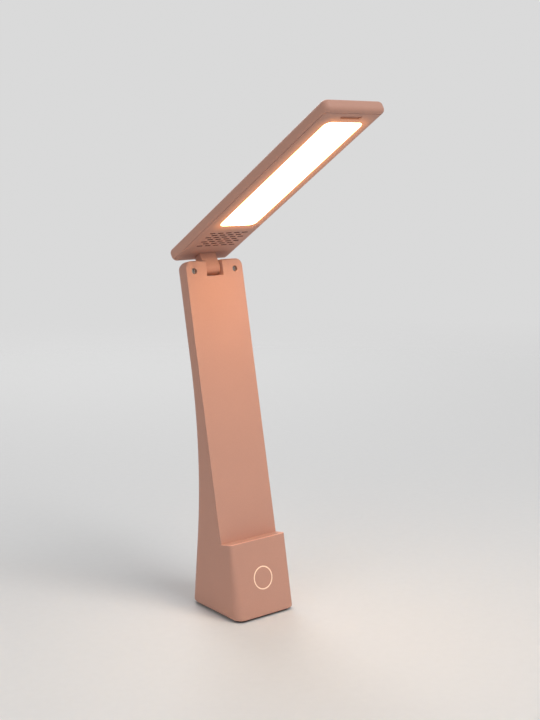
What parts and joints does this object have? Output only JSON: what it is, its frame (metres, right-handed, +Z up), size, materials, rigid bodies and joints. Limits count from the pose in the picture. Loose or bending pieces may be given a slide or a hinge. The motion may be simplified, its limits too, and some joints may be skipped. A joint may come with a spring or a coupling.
{
  "type": "folding led desk lamp",
  "caption": "Slim folding desk lamp: leaning stand on a block base with a touch ring, and a slab light head with vents on a friction hinge.",
  "frame": {"origin": "centre of the anti-slip pad's underside, on the table", "axes": "+Z up, -Y to the front of the lamp, where the ring and the light head point, +X to the right as seen from the back"},
  "size_m": [0.0522, 0.1678, 0.3557],
  "materials": {
    "body": "matt moulded plastic with a fine grain",
    "steel": "plain zinc-plated or stainless steel",
    "washer": "dark slippery plastic",
    "ring": "pale translucent light guide",
    "pad": "matt anti-slip rubber",
    "dark_plastic": "plain moulded plastic",
    "cell": "shrink sleeve over a steel can",
    "board": "lacquered circuit board",
    "chips": "moulded chips and headers",
    "white_plastic": "white moulded plastic",
    "wire_red": "wire insulation",
    "wire_black": "wire insulation",
    "diffuser": "milky light diffuser",
    "led_board": "white solder-masked light board",
    "led_chips": "phosphor-covered light chips",
    "aluminium": "plain sheet"
  },
  "bodies": {
    "stand": {"stand_shell": "body", "front_panel": "body", "panel_screw_left": "steel", "panel_screw_right": "steel", "bottom_plate": "dark_plastic", "bottom_screw_1": "steel", "bottom_screw_2": "steel", "bottom_screw_3": "steel", "bottom_screw_4": "steel", "anti_slip_pad": "pad", "ballast_plate": "steel", "battery_cell": "cell", "cell_tab_top": "steel", "cell_tab_bottom": "steel", "battery_cradle": "dark_plastic", "cradle_screw_1": "steel", "cradle_screw_2": "steel", "cradle_screw_3": "steel", "cradle_screw_4": "steel", "control_board": "board", "board_parts": "chips", "board_screws": "steel", "usb_socket": "steel", "touch_board": "board", "touch_screws": "steel", "touch_spring": "steel", "ring_lights": "white_plastic", "touch_ring": "ring", "bracket_left": "steel", "bracket_right": "steel", "bracket_screw_1": "steel", "bracket_screw_2": "steel", "bracket_screw_3": "steel", "bracket_screw_4": "steel", "friction_washer": "washer", "battery_lead_red": "wire_red", "battery_lead_black": "wire_black", "touch_lead": "white_plastic", "stem_cable": "wire_red"},
    "head": {"hinge_pin": "steel", "spring_washer_1": "steel", "spring_washer_2": "steel", "lock_nut": "steel", "hinge_knuckle": "body", "knuckle_screw_1": "steel", "knuckle_screw_2": "steel", "knuckle_screw_3": "steel", "knuckle_screw_4": "steel", "head_cable": "wire_red", "led_plug": "white_plastic", "head_cover": "body", "head_frame": "body", "diffuser": "diffuser", "reflector_frame": "white_plastic", "led_board": "led_board", "led_chips": "led_chips", "heat_spreader": "aluminium"}
  },
  "joints": [
    {"name": "head_fold", "type": "hinge", "parent": "stand", "child": "head", "pos_m": [0, 0.03611, 0.24274], "axis": [1, 0, 0], "range_deg": [-70, 110]}
  ]
}
